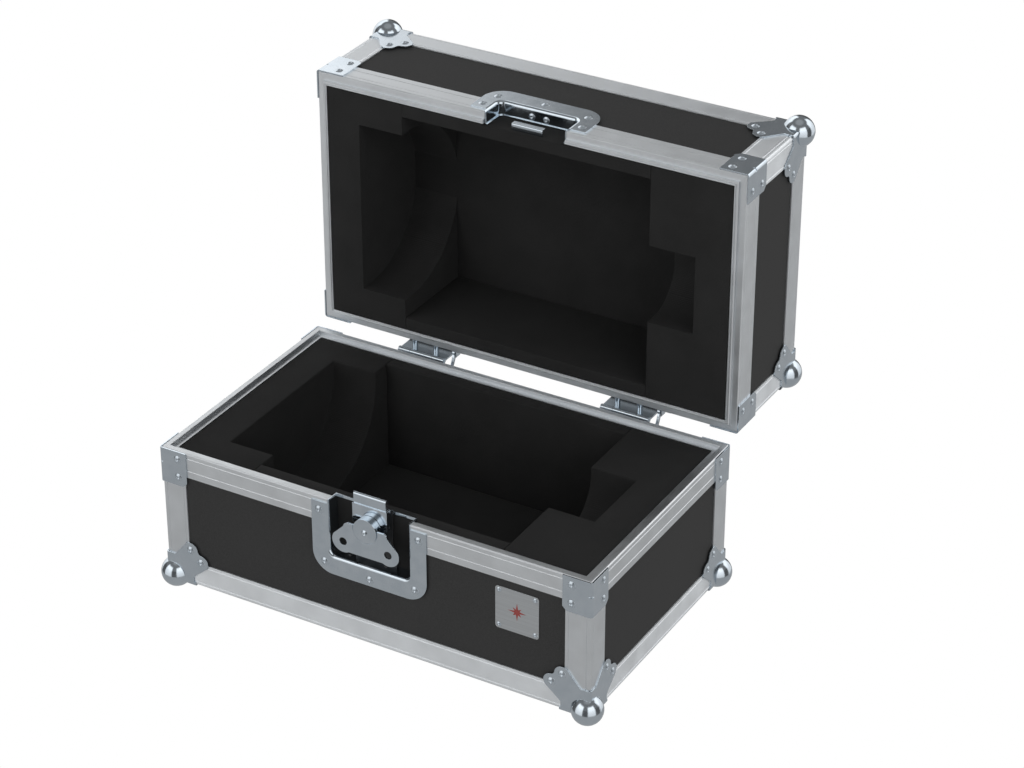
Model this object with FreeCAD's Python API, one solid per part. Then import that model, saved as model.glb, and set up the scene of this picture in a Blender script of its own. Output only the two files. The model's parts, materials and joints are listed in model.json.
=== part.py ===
import FreeCAD
import Part
import math
import os

# A telescope carry case, in millimetres, +Z up, opened by 90 degrees.
# X runs along the length, the front with its latch looks along -Y, and Z = 0 is the floor that the
# ball corners stand on. The origin is under the middle of the base.
# Both halves are one kind of shell: panels held by aluminium extrusions, with a rim, corner braces
# and ball corners. A shell is made with its closed side down and its rim up, at Z = 0 to its height.

V = FreeCAD.Vector

# Overall sizes over the extrusions
LENGTH = 530.0
DEPTH = 309.0
BASE_HEIGHT = 168.0
LID_HEIGHT = 143.0
SEAM = 0.2                 # gap between the two rims when the case is closed
OPEN_ANGLE = 90.0
X_SIDE = LENGTH / 2
Y_SIDE = DEPTH / 2
FRONT = -Y_SIDE
BACK = Y_SIDE

# Sheet and extrusions
LEG = 30.0                 # width of every extrusion leg
SHEET = 1.5                # extrusion, brace and ball corner sheet
PANEL = 7.0
PANEL_IN = SHEET + PANEL   # inner face of a panel, from the outer face of the shell
EDGE_RADIUS = 3.0
GROOVE = 0.6               # fine lines that run along the extrusions
RIM_LINES = (6.0, 21.5)    # distances of the fine lines below the rim

# Rims: the base rim is grooved and the lid rim has a tongue that drops into it
LAND = 7.5                 # flat land at the outside of both rims
RIM_DEPTH = 13.4           # how far in both rims reach
RECESS = 4.2               # how deep the base rim is stepped down behind the land
TONGUE_START = 8.6
TONGUE = 3.8
CLASP = 14.0               # how far down the inner leg holds the panel

# Ball corners and braces
BALL_RADIUS = 17.6
BALL_INSET = 6.2           # ball centre, in from each of the three faces
FOOT = BALL_RADIUS - BALL_INSET
WING_RIVETS = ((32.3, 45.2), (45.2, 32.3))
WING_LOBE = 9.2
BRACE_LEG = 33.0
BRACE_HEIGHT = 42.6
BRACE_CHAMFER = 5.0
BEND = 3.3                 # outer radius of bends in braces and ball corners
BRACE_SLIT = 0.9           # radius of the short slit across the bend
BRACE_RIVET_IN = 22.3
BRACE_RIVETS_DOWN = (9.5, 32.0)
RIVET_HEAD = 4.6
RIVET_SHANK = 2.0

# Foam: a bay for the tube in the middle and a round cradle at each end, in both halves
FOAM_IN = 13.8             # foam edge at the rim
FOAM_FLOOR = 30.0
FOAM_FLOOR_LID = 21.5 + PANEL_IN
BAY_X = 154.0
BAY_Y = 125.5
CRADLE_LEFT = (-210.0, 102.7)    # end wall and radius
CRADLE_RIGHT = (209.0, 46.0)
CRADLE_DOWN = 12.9         # axis of both cradles, below the rim
FOAM_DOWN = 4.6            # base foam, below its rim
FOAM_PROUD = 3.6           # lid foam, above its rim

# Latch dish: a recessed tray with a flange, open towards the rim
DISH_SHEET = 1.4
DISH_HALF = 50.4           # tray half-width at its mouth
DISH_TAPER = 0.6           # how much the tray narrows towards its back wall
DISH_DEEP = 14.0           # back wall, behind the front face
DISH_ROLL = 3.4            # radius of the edge rolled from the flange into the tray
FLANGE_HALF = 70.7
FLANGE_RADIUS = 25.0
FLANGE_GAP = 5.0           # flange edge, from the rim

# Latch: eccentric turned by a wing, pulling a yoke with a hooked tongue
PIVOT_Z = 145.7
ECCENTRIC = 2.5
DRUM_RADIUS = 13.8
DRUM_BACK = 1.3
SHAFT_RADIUS = 3.0
SHAFT_FIT = 0.05
CAM_RADIUS = 6.0
LATCH_STROKE = 2 * ECCENTRIC
WING_FRONT = -7.9
WING_BACK = -5.9
WING_LOBE_AT = (27.7, 127.2)
WING_LOBE_RADIUS = 13.5
WING_HOLE = 4.6
WING_HUB = 4.0             # radius of the riveted end of the shaft
TILT_Z = 152.0
TILT_DEEP = 6.0
TONGUE_HALF = 21.2

# Keeper: a hooked lip that comes out of the lid's foam, on a foot under the foam and a root flange
KEEPER_HALF = 19.0
KEEPER_SHEET = 1.2
KEEPER_DOWN = 4.0          # its shelf, below the rim
KEEPER_LIP = 7.9           # front of the lip, behind the front face
KEEPER_HOLD = 6.5          # height of the lip
KEEPER_BEND = 1.5          # outer radius between lip and shelf
KEEPER_DEEP = 18.0         # underside of the foot
KEEPER_RIVETS = (8.9, 9.0)       # across and behind the front face, in the tray's far wall
KEEPER_RIVET_HEAD = 4.0

# Hinges and their stay arms, on the back
HINGE_X = 131.5
PIN_OUT = 11.67            # pin axis behind the back face
PIN_DOWN = 5.97            # pin axis below the base rim
PIN_RADIUS = 2.0
PIN_FIT = 0.05
KNUCKLE_RADIUS = 3.5
KNUCKLE_SPAN = 60.0
KNUCKLE_MIDDLE = 29.4
KNUCKLE_GAP = 0.3
LEAF = 2.0
LEAF_REACH = 38.0
POST_RADIUS = 3.2
POSTS_X = (-17.0, 11.0)    # both posts of a leaf, from the hinge's middle
POST_REACH = 13.8          # posts, from the pin axis
PIN_Y = BACK + PIN_OUT
PIN_Z = FOOT + BASE_HEIGHT - PIN_DOWN
STAY_X = 36.2              # stay arms, to the right of each hinge's middle
STAY_BASE = (-3.0, -26.6)  # base pin from the hinge pin, along Y and Z
STAY_LID = (13.7, 6.2)     # lid pivot from the hinge pin, with the lid open
STAY_PIN = 1.5
STAY_SLOT = (36.8, 41.4)   # ends of the pin's travel along the arm

# Label plate, blank, on the front
LABEL_X = 178.0
LABEL_Z = 102.0
LABEL_HALF = 25.8
LABEL_SHEET = 0.8
LABEL_RIVET = 21.5


class Shell:
    """What differs between the two halves. Foam heights are measured from the closed side."""

    def __init__(self, name, height, seat, foam_floor, foam_top, tray_down, flange_down,
                 window_lip, window_down, dish_rivets):
        self.name = name
        self.height = height
        self.seat = seat                # top edge of the wall panels, below the rim
        self.foam_floor = foam_floor
        self.foam_top = foam_top
        self.tray_down = tray_down      # far edge of the latch tray, below the rim
        self.flange_down = flange_down
        self.window_lip = window_lip    # lip left round the window in the tray's back
        self.window_down = window_down  # near edge of the window, below the rim
        self.dish_rivets = dish_rivets  # beside the mouth, far corner and far middle, below the rim


BASE = Shell("base", BASE_HEIGHT, 5.7, FOAM_FLOOR, BASE_HEIGHT - FOAM_DOWN, 69.0, 92.0,
             0.0, 3.2, (15.5, 78.6, 84.4))
LID = Shell("lid", LID_HEIGHT, 1.6, FOAM_FLOOR_LID, LID_HEIGHT + FOAM_PROUD, 31.0, 57.0,
            1.6, 0.0, (15.0, 39.0, 45.0))


# ---------------------------------------------------------------- shape helpers

def box(x0, x1, y0, y1, z0, z1):
    return Part.makeBox(x1 - x0, y1 - y0, z1 - z0, V(x0, y0, z0))


def rod(radius, start, end):
    return Part.makeCylinder(radius, (end - start).Length, start, end - start)


def slab(start, steps, thickness):
    """A flat outline, pushed through its thickness. A step is a point, or an arc's middle and end."""
    edges = []
    at = start
    for step in steps + [start]:
        if isinstance(step, tuple):
            edges.append(Part.Arc(at, step[0], step[1]).toShape())
            at = step[1]
        elif (step - at).Length > 1e-6:
            edges.append(Part.LineSegment(at, step).toShape())
            at = step
    return Part.Face(Part.Wire(edges)).extrude(thickness)


def join(shapes):
    return shapes[0].multiFuse(shapes[1:]).removeSplitter()


def mirrored(shape, axis):
    return shape.mirror(V(0, 0, 0), axis)


def four_ways(shapes):
    """Shapes at the front right corner, repeated at all four corners."""
    right = list(shapes) + [mirrored(s, V(0, 1, 0)) for s in shapes]
    return right + [mirrored(s, V(1, 0, 0)) for s in right]


def on_arc(centre, radius, degrees):
    """A point in a plane's two coordinates."""
    turn = math.radians(degrees)
    return centre[0] + radius * math.cos(turn), centre[1] + radius * math.sin(turn)


def rivet(point, normal, head=RIVET_HEAD, sheet=SHEET):
    """A pop rivet: a domed head with a dimple, and a shank as long as the sheet is thick."""
    rise = 0.34 * head
    sphere = (head ** 2 + rise ** 2) / (2 * rise)
    up = V(0, 0, 1)
    dome = Part.makeSphere(sphere, V(0, 0, rise - sphere)).common(rod(head, V(0, 0, 0), up * 2 * rise))
    dimple = Part.makeSphere(0.58 * head, V(0, 0, rise + 0.32 * head))
    shank = rod(RIVET_SHANK * head / RIVET_HEAD, up * -sheet, up * 0.2)
    solid = join([dome, shank]).cut(dimple)
    solid.Placement = FreeCAD.Placement(point, FreeCAD.Rotation(up, normal))
    return solid


def drilled(shape, places, head=RIVET_HEAD, sheet=SHEET):
    """The sheet with a hole for the shank of every rivet."""
    shank = RIVET_SHANK * head / RIVET_HEAD
    holes = [rod(shank, point - normal * (sheet + 0.01), point + normal) for point, normal in places]
    return shape.cut(Part.makeCompound(holes))


# ---------------------------------------------------------------- extrusions

def groove_points(fixed, along, sign):
    """A small V groove in a leg: three profile points around the line at `along`."""
    half = GROOVE
    return [(fixed, along - sign * half), (fixed + GROOVE, along), (fixed, along + sign * half)]


def rim_profile(shell):
    """Points of the rim section: distance in from the outer face, and height above the rim."""
    outside = [(0.0, -LEG)]
    for line in reversed(RIM_LINES):
        outside += groove_points(0.0, -line, 1)
    if shell.name == "base":
        top = [(0.0, -1.2), (1.2, 0.0), (LAND - 0.6, 0.0), (LAND, -0.6), (LAND, -RECESS),
               (RIM_DEPTH, -RECESS), (RIM_DEPTH, -shell.seat), (PANEL_IN + SHEET, -shell.seat),
               (PANEL_IN + SHEET, -CLASP), (PANEL_IN, -CLASP), (PANEL_IN, -shell.seat),
               (LAND - SHEET, -shell.seat), (LAND - SHEET, -SHEET), (SHEET, -SHEET)]
    else:
        middle = (TONGUE_START + 1.0 + RIM_DEPTH) / 2
        top = [(0.0, -1.2), (1.2, 0.0), (TONGUE_START, 0.0), (TONGUE_START, TONGUE - 1.0),
               (TONGUE_START + 1.0, TONGUE), (middle - 0.7, TONGUE), (middle, TONGUE - 0.9),
               (middle + 0.7, TONGUE), (RIM_DEPTH - 0.4, TONGUE), (RIM_DEPTH, TONGUE - 0.4),
               (RIM_DEPTH, -shell.seat), (PANEL_IN + SHEET, -shell.seat),
               (PANEL_IN + SHEET, -CLASP), (PANEL_IN, -CLASP), (PANEL_IN, -shell.seat),
               (SHEET, -shell.seat)]
    return outside + top + [(SHEET, -LEG)]


def angle_profile():
    """Section of the edge angles, with the corner at the origin and a rounded outer edge.

    The result is a start point and steps, where a pair of points is an arc's middle and end."""
    lines = (LEG - 3.5, EDGE_RADIUS + 2.2)
    bend = EDGE_RADIUS * (1 - math.sqrt(0.5))
    steps = []
    for line in lines:
        steps += groove_points(0.0, line, -1)
    steps += [(0.0, EDGE_RADIUS), ((bend, bend), (EDGE_RADIUS, 0.0))]
    for line in reversed(lines):
        steps += [(b, a) for a, b in groove_points(0.0, line, 1)]
    steps += [(LEG, 0.0), (LEG, SHEET), (SHEET, SHEET), (SHEET, LEG)]
    return (0.0, LEG), steps


def mapped(profile, place):
    """Profile steps turned into points in space by `place`."""
    steps = []
    for step in profile:
        if isinstance(step[0], tuple):
            steps.append((place(*step[0]), place(*step[1])))
        else:
            steps.append(place(*step))
    return steps


def run(start, steps, length, outer, turn):
    """A section run along one side of the shell, mitred at both ends.

    It is made along the front, with its outer face at -outer, and turned about Z."""
    def place(inset, height):
        return V(-length / 2, -outer + inset, height)

    bar = slab(place(*start), mapped(steps, place), V(length, 0, 0))
    reach = 2 * LEG
    low = -LEG
    wedge = slab(V(-length / 2, -outer, low),
                 [V(length / 2, -outer, low), V(length / 2 - reach, -outer + reach, low),
                  V(-length / 2 + reach, -outer + reach, low)],
                 V(0, 0, BASE_HEIGHT + 2 * LEG))
    return bar.common(wedge).rotated(V(0, 0, 0), V(0, 0, 1), turn)


SIDES = {"front": (LENGTH, Y_SIDE, 0), "right": (DEPTH, X_SIDE, 90),
         "back": (LENGTH, Y_SIDE, 180), "left": (DEPTH, X_SIDE, -90)}


def rims(shell):
    """The five rim pieces: the front one is split by the latch dish."""
    section = [(inset, shell.height + height) for inset, height in rim_profile(shell)]
    pieces = {}
    for side, (length, outer, turn) in SIDES.items():
        pieces[side] = run(section[0], section[1:], length, outer, turn)
    whole = pieces.pop("front")
    middle = DISH_HALF + 0.1
    tall = shell.height + LEG
    pieces["front_left"] = whole.common(box(-LENGTH, -middle, -DEPTH, 0, 0, tall))
    pieces["front_right"] = whole.common(box(middle, LENGTH, -DEPTH, 0, 0, tall))
    return pieces


def edge_angles():
    start, steps = angle_profile()
    return [run(start, steps, *side) for side in SIDES.values()]


def corner_posts(shell):
    start, steps = angle_profile()

    def place(across, back):
        return V(X_SIDE - across, FRONT + back, LEG)

    post = slab(place(*start), mapped(steps, place), V(0, 0, shell.height - 2 * LEG))
    return four_ways([post])


# ---------------------------------------------------------------- panels

def floor_panel():
    x = X_SIDE - SHEET
    y = Y_SIDE - SHEET
    return box(-x, x, -y, y, SHEET, PANEL_IN)


def wall_panels(shell):
    top = shell.height - shell.seat
    x = X_SIDE - SHEET
    long_wall = box(-x, x, FRONT + SHEET, FRONT + PANEL_IN, PANEL_IN, top)
    y = Y_SIDE - PANEL_IN
    end_wall = box(X_SIDE - PANEL_IN, x, -y, y, PANEL_IN, top)
    gap = DISH_HALF + 0.1
    notch = box(-gap, gap, FRONT, FRONT + 2 * PANEL, shell.height - shell.tray_down - 2.8, top)
    return {"front": long_wall.cut(notch), "back": mirrored(long_wall, V(0, 1, 0)),
            "right": end_wall, "left": mirrored(end_wall, V(1, 0, 0))}


# ---------------------------------------------------------------- ball corners and braces

def wing_steps(place):
    """Outline of one wing of a ball corner, over two distances from the corner."""
    first, second = WING_RIVETS
    start = (-SHEET, -SHEET)
    steps = [(-SHEET, 34.0), (10.7, 34.0), ((18.0, 42.3), on_arc(first, WING_LOBE, 140)),
             (on_arc(first, WING_LOBE, 70), on_arc(first, WING_LOBE, 0)),
             (42.8, 42.8), on_arc(second, WING_LOBE, 90),
             (on_arc(second, WING_LOBE, 20), on_arc(second, WING_LOBE, -50)),
             ((42.3, 18.0), (34.0, 10.7)), (34.0, -SHEET)]
    return place(*start), mapped(steps, place)


def corner_faces():
    """The three faces at the front right bottom corner: a placing rule and an outward normal."""
    def on_front(across, up):
        return V(X_SIDE - across, FRONT, up)

    def on_right(back, up):
        return V(X_SIDE, FRONT + back, up)

    def below(across, back):
        return V(X_SIDE - across, FRONT + back, 0)

    return [(on_front, V(0, -1, 0)), (on_right, V(1, 0, 0)), (below, V(0, 0, -1))]


def wing_rivet_places():
    places = []
    for place, normal in corner_faces():
        for rivet_at in WING_RIVETS:
            places.append((place(*rivet_at) + normal * SHEET, normal))
    return places


def bent_corner(reach):
    """The space over the front right bottom corner, one sheet proud, with its three edges bent."""
    corner = V(X_SIDE + SHEET, FRONT - SHEET, -SHEET)
    block = box(X_SIDE - reach, corner.x, corner.y, FRONT + reach, corner.z, reach)
    edges = [edge for edge in block.Edges if min((v.Point - corner).Length for v in edge.Vertexes) < 0.01]
    return block.makeFillet(BEND, edges)


def ball_corner():
    """Front right ball corner: a hollow ball over the corner, with a two-lobed wing on each face."""
    centre = V(X_SIDE - BALL_INSET, FRONT + BALL_INSET, BALL_INSET)
    inside = Part.makeSphere(BALL_RADIUS - SHEET, centre)
    plates = []
    for place, normal in corner_faces():
        start, steps = wing_steps(place)
        plates.append(slab(start, steps, normal * SHEET))
    tab_in = 35.6
    tab_up = 3.4
    plates.append(box(X_SIDE - tab_in, X_SIDE, FRONT - SHEET, FRONT, -SHEET, tab_up))
    plates.append(box(X_SIDE - tab_in, X_SIDE, FRONT - SHEET, FRONT + tab_up, -SHEET, 0))
    plates.append(box(X_SIDE, X_SIDE + SHEET, FRONT, FRONT + tab_in, -SHEET, tab_up))
    plates.append(box(X_SIDE - tab_up, X_SIDE + SHEET, FRONT, FRONT + tab_in, -SHEET, 0))
    sheet = join(plates).common(bent_corner(2 * LEG))
    case = box(-X_SIDE, X_SIDE, FRONT, BACK, 0, BASE_HEIGHT)
    whole = join([Part.makeSphere(BALL_RADIUS, centre), sheet]).cut(inside).cut(case)
    return drilled(whole, wing_rivet_places())


def brace_rivet_places(shell):
    places = []
    for down in BRACE_RIVETS_DOWN:
        up = shell.height - down
        places.append((V(X_SIDE - BRACE_RIVET_IN, FRONT - SHEET, up), V(0, -1, 0)))
        places.append((V(X_SIDE + SHEET, FRONT + BRACE_RIVET_IN, up), V(1, 0, 0)))
    return places


def corner_brace(shell):
    """Front right rim brace: a bent plate round the post, with its lower corners cut off."""
    top = shell.height - SEAM
    low = shell.height - BRACE_HEIGHT
    mid = BEND * (1 - math.sqrt(0.5)) - SHEET
    straight = BEND - SHEET

    def place(across, back):
        return V(X_SIDE - across, FRONT + back, low)

    steps = [place(straight, -SHEET), (place(mid, mid), place(-SHEET, straight)),
             place(-SHEET, BRACE_LEG), place(0, BRACE_LEG), place(0, 0), place(BRACE_LEG, 0)]
    plate = slab(place(BRACE_LEG, -SHEET), steps, V(0, 0, top - low))
    cut = BRACE_CHAMFER
    edge = X_SIDE - BRACE_LEG
    corner = slab(V(edge, FRONT - 2 * SHEET, low), [V(edge + cut, FRONT - 2 * SHEET, low),
                                                    V(edge, FRONT - 2 * SHEET, low + cut)],
                  V(0, 2 * SHEET, 0))
    edge = FRONT + BRACE_LEG
    side = slab(V(X_SIDE, edge, low), [V(X_SIDE, edge - cut, low), V(X_SIDE, edge, low + cut)],
                V(2 * SHEET, 0, 0))
    slit_at = V(X_SIDE, FRONT, shell.height - 17.7)
    slit_along = V(1, 1, 0).normalize() * 8
    slit = rod(BRACE_SLIT, slit_at - slit_along, slit_at + slit_along)
    return drilled(plate.cut(corner).cut(side).cut(slit), brace_rivet_places(shell))


# ---------------------------------------------------------------- foam

def cradle(shell, x0, x1, radius):
    """The space of one cradle: a half-round trough, straight-sided above its axis."""
    axis = shell.height - CRADLE_DOWN
    trough = rod(radius, V(x0, 0, axis), V(x1, 0, axis))
    above = box(x0, x1, -radius, radius, axis, axis + LEG)
    return trough.fuse(above)


def foam(shell):
    """Five foam blocks: a floor, a front and a back wall, and a cradle at each end."""
    x = X_SIDE - FOAM_IN
    y = Y_SIDE - FOAM_IN
    low = shell.foam_floor
    top = shell.foam_top
    hidden = PANEL_IN + 0.2
    belt = shell.height - CLASP - 0.2
    floor = box(-X_SIDE + hidden, X_SIDE - hidden, -Y_SIDE + hidden, Y_SIDE - hidden,
                PANEL_IN, low)
    dish_back = FRONT + DISH_DEEP + DISH_SHEET + 0.2
    behind_dish = box(-DISH_HALF - 1.5, DISH_HALF + 1.5, FRONT, dish_back,
                      shell.height - shell.tray_down - 3, top)
    front = join([box(-BAY_X, BAY_X, -y, -BAY_Y, low, top),
                  box(-BAY_X, BAY_X, -Y_SIDE + hidden, -BAY_Y, low, belt)])
    back = mirrored(front, V(0, 1, 0))
    front = front.cut(behind_dish)
    if shell.name == "lid":
        front = front.cut(keeper_space(dish_back))
    left_x, left_radius = CRADLE_LEFT
    right_x, right_radius = CRADLE_RIGHT
    deep = Y_SIDE - hidden
    left = join([box(-x, -BAY_X, -y, y, low, top),
                 box(-X_SIDE + hidden, -BAY_X, -deep, deep, low, belt)])
    right = mirrored(left, V(1, 0, 0))
    return {"floor": floor, "front": front, "back": back,
            "left_cradle": left.cut(cradle(shell, left_x, -BAY_X, left_radius)),
            "right_cradle": right.cut(cradle(shell, BAY_X, right_x, right_radius))}


def keeper_space(surface):
    """Slots in the lid's foam for the keeper's shelf and root flange, and the hollow for its foot."""
    half = KEEPER_HALF + 0.3
    back = FRONT + KEEPER_DEEP + 0.2
    near = LID_HEIGHT - KEEPER_DOWN + 0.2
    far = LID_HEIGHT - LID.tray_down - DISH_SHEET - KEEPER_SHEET - 0.2
    foot = box(-half, half, back - KEEPER_SHEET - 0.4, back, far, near)
    shelf = box(-half, half, surface, back, near - KEEPER_SHEET - 0.4, near)
    root = box(-half, half, surface, back, far, far + 3.5)
    return join([foot, shelf, root])


# ---------------------------------------------------------------- latch dish

def tray_wire(shell, half, down, deep):
    """Outline of the tray at one depth: two sides and a far edge with rounded corners."""
    low = shell.height - down
    radius = 7.0
    mid = radius * (1 - math.sqrt(0.5))
    y = FRONT + deep
    top = shell.height
    left = Part.Arc(V(-half, y, low + radius), V(-half + mid, y, low + mid), V(-half + radius, y, low))
    right = Part.Arc(V(half - radius, y, low), V(half - mid, y, low + mid), V(half, y, low + radius))
    return Part.Wire([Part.LineSegment(V(-half, y, top), V(-half, y, low + radius)).toShape(),
                      left.toShape(),
                      Part.LineSegment(V(-half + radius, y, low), V(half - radius, y, low)).toShape(),
                      right.toShape(),
                      Part.LineSegment(V(half, y, low + radius), V(half, y, top)).toShape(),
                      Part.LineSegment(V(half, y, top), V(-half, y, top)).toShape()])


def tray_block(shell, skin, front, back):
    """The tray's space between two depths, grown outwards by the sheet it is made of."""
    slope = DISH_TAPER / DISH_DEEP

    def wire(deep):
        half = DISH_HALF - DISH_SHEET + skin - slope * deep
        return tray_wire(shell, half, shell.tray_down + skin - slope * deep, deep)

    return Part.makeLoft([wire(front), wire(back)], True, True)


def flange(shell):
    """The whole flange, up to the rim. Its ends are cut back later."""
    y = FRONT - SHEET
    top = shell.height
    low = top - shell.flange_down
    half = FLANGE_HALF
    radius = FLANGE_RADIUS
    mid = radius * (1 - math.sqrt(0.5))
    steps = [V(-half, y, low + radius), (V(-half + mid, y, low + mid), V(-half + radius, y, low)),
             V(half - radius, y, low), (V(half - mid, y, low + mid), V(half, y, low + radius)),
             V(half, y, top)]
    return slab(V(-half, y, top), steps, V(0, SHEET, 0))


def dish_rivet_places(shell):
    """Two rivets beside the mouth, two at the far corners and one in the middle of the far edge."""
    normal = V(0, -1, 0)
    y = FRONT - SHEET
    near_down, corner_down, middle_down = shell.dish_rivets
    places = []
    for side in (-1, 1):
        places.append((V(side * 61.5, y, shell.height - near_down), normal))
        places.append((V(side * 56.0, y, shell.height - corner_down), normal))
    places.append((V(0, y, shell.height - middle_down), normal))
    return places


def keeper_rivet_places():
    """Two rivets through the sloping far wall of the lid's tray and the keeper's root flange."""
    across, deep = KEEPER_RIVETS
    slope = DISH_TAPER / DISH_DEEP
    height = LID_HEIGHT - LID.tray_down + slope * deep
    normal = V(0, -slope, 1).normalize()
    return [(V(side * across, FRONT + deep, height), normal) for side in (-1, 1)]


def latch_dish(shell):
    """A pressed tray: flange and sloping walls, open towards the rim, with a window in its back."""
    back = DISH_DEEP + DISH_SHEET
    whole = join([flange(shell), tray_block(shell, DISH_SHEET, -SHEET, back)])
    pressed = rolled(whole.cut(tray_block(shell, 0.0, -SHEET - 1, DISH_DEEP)), shell)
    inner = DISH_HALF - DISH_SHEET
    mouth = box(-inner, inner, FRONT - 2 * SHEET, FRONT + DISH_DEEP, shell.height - 1, shell.height + 1)
    window = tray_block(shell, -shell.window_lip, DISH_DEEP - 0.5, back + 0.5)
    above = box(-LENGTH, LENGTH, FRONT, 0, shell.height - shell.window_down, shell.height + 9)
    pressed = pressed.cut(mouth).cut(window.cut(above))
    beyond = DISH_HALF + 0.5
    gap = box(beyond, LENGTH, FRONT - 2 * SHEET, FRONT, shell.height - FLANGE_GAP, shell.height + 1)
    pressed = pressed.cut(gap).cut(mirrored(gap, V(1, 0, 0)))
    if shell.name == "lid":
        pressed = drilled(pressed, keeper_rivet_places(), KEEPER_RIVET_HEAD, DISH_SHEET + KEEPER_SHEET)
    return drilled(pressed, dish_rivet_places(shell))


def rolled(dish, shell):
    """The dish with the edge between its flange and its tray rolled over."""
    y = FRONT - SHEET
    slope = DISH_TAPER / DISH_DEEP
    half = DISH_HALF - DISH_SHEET + slope * SHEET + 0.01
    low = shell.height - shell.tray_down - slope * SHEET - 0.01
    edges = []
    for edge in dish.Edges:
        bounds = edge.BoundBox
        if bounds.YMax < y + 0.01 and bounds.XMin > -half and bounds.XMax < half and bounds.ZMin > low:
            edges.append(edge)
    return dish.makeFillet(DISH_ROLL, edges)


# ---------------------------------------------------------------- latch

def latch_back_plate():
    """The plate across the tray's window that carries the latch, with two stop pegs for the wing.

    It stands on the tray's far wall and lies against the bar above the window."""
    front = FRONT + DISH_DEEP - SHEET
    back = FRONT + DISH_DEEP
    low = 96.0
    peg_x = 22.2
    peg_z = 109.7
    plate = join([box(-21.4, 21.4, front, back, low, 167.0),
                  box(-25.5, 25.5, front, back, low, 116.0)])
    plate = plate.common(tray_block(BASE, 0.0, 0.0, DISH_DEEP))
    bore = rod(SHAFT_RADIUS + SHAFT_FIT, V(0, front - 1, PIVOT_Z), V(0, back + 1, PIVOT_Z))
    pegs = [rod(1.5, V(side * peg_x, front + 0.5, peg_z), V(side * peg_x, FRONT - 4.4, peg_z))
            for side in (-1, 1)]
    return join([plate.cut(bore)] + pegs)


def latch_wing():
    """The thumb wing: a plate with two round lobes, each with a hole, and a raised disc."""
    lobe_x, lobe_z = WING_LOBE_AT
    radius = WING_LOBE_RADIUS
    low = 115.5
    top = 151.6
    y = FRONT + WING_BACK

    def at(x, z):
        return V(x, y, z)

    drop = math.degrees(math.asin((lobe_z - low) / radius))
    right = [at(20.5, top), (at(24.9, top - 1.1), at(26.9, top - 5.0)),
             at(*on_arc((lobe_x, lobe_z), radius, 32)),
             (at(*on_arc((lobe_x, lobe_z), radius, -40)),
              at(*on_arc((lobe_x, lobe_z), radius, drop - 180)))]
    left_lobe = (-lobe_x, lobe_z)
    left = [at(*on_arc(left_lobe, radius, -drop)),
            (at(*on_arc(left_lobe, radius, 220)), at(*on_arc(left_lobe, radius, 148))),
            at(-26.9, top - 5.0), (at(-24.9, top - 1.1), at(-20.5, top))]
    plate = slab(at(-20.5, top), right + left, V(0, WING_FRONT - WING_BACK, 0))
    holes = [rod(WING_HOLE, V(side * lobe_x, y + 1, lobe_z), V(side * lobe_x, y - 5, lobe_z))
             for side in (-1, 1)]
    drum_z = PIVOT_Z + ECCENTRIC
    face = FRONT + WING_FRONT
    disc_radius = DRUM_RADIUS + 0.5
    disc = rod(disc_radius, V(0, face + 0.6, drum_z), V(0, face - 0.8, drum_z))
    groove = rod(disc_radius + 1.0, V(0, face - 0.1, drum_z), V(0, face + 0.9, drum_z))
    groove = groove.cut(rod(disc_radius, V(0, face - 1, drum_z), V(0, face + 1, drum_z)))
    disc_back = rod(disc_radius, V(0, y, drum_z), V(0, face, drum_z))
    hub = rivet(V(0, face - 0.8, PIVOT_Z), V(0, -1, 0), WING_HUB, 0.5)
    return join([plate.cut(Part.makeCompound(holes)), disc_back]).cut(groove).multiFuse([disc, hub])


def latch_drum():
    """The round drum between the wing and the tongue, eccentric to the pivot."""
    drum_z = PIVOT_Z + ECCENTRIC
    return rod(DRUM_RADIUS, V(0, FRONT + WING_BACK, drum_z), V(0, FRONT + DRUM_BACK, drum_z))


def latch_shaft():
    """The turning shaft, from the drum into the back plate, with the eccentric in the yoke."""
    drum_z = PIVOT_Z + ECCENTRIC
    shaft = rod(SHAFT_RADIUS, V(0, FRONT + DRUM_BACK, PIVOT_Z), V(0, FRONT + DISH_DEEP - 0.1, PIVOT_Z))
    eccentric = rod(CAM_RADIUS, V(0, FRONT + 3.5, drum_z), V(0, FRONT + 8, drum_z))
    return join([shaft, eccentric])


def latch_yoke():
    """The sliding plate round the eccentric, with the tilt pin of the tongue at its top."""
    half = 17.0
    drum_z = PIVOT_Z + ECCENTRIC
    front = FRONT + 4.4
    back = FRONT + 6.6
    slot_half = CAM_RADIUS + ECCENTRIC + 0.4
    slot_tall = CAM_RADIUS + 0.8
    plate = box(-half, half, front, back, drum_z - 9.0, drum_z + 8.8)
    flat = slot_half - slot_tall
    slot = join([box(-flat, flat, front - 1, back + 1, drum_z - slot_tall, drum_z + slot_tall)]
                + [rod(slot_tall, V(side * flat, front - 1, drum_z), V(side * flat, back + 1, drum_z))
                   for side in (-1, 1)])
    pin = rod(STAY_PIN, V(-TONGUE_HALF, FRONT + TILT_DEEP, TILT_Z),
              V(TONGUE_HALF, FRONT + TILT_DEEP, TILT_Z))
    hollow = box(-slot_half - 1.5, slot_half + 1.5, front - 3, back + 3, TILT_Z - 2, TILT_Z + 2)
    return join([plate.cut(slot), pin.cut(hollow)]).cut(slot)


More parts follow.
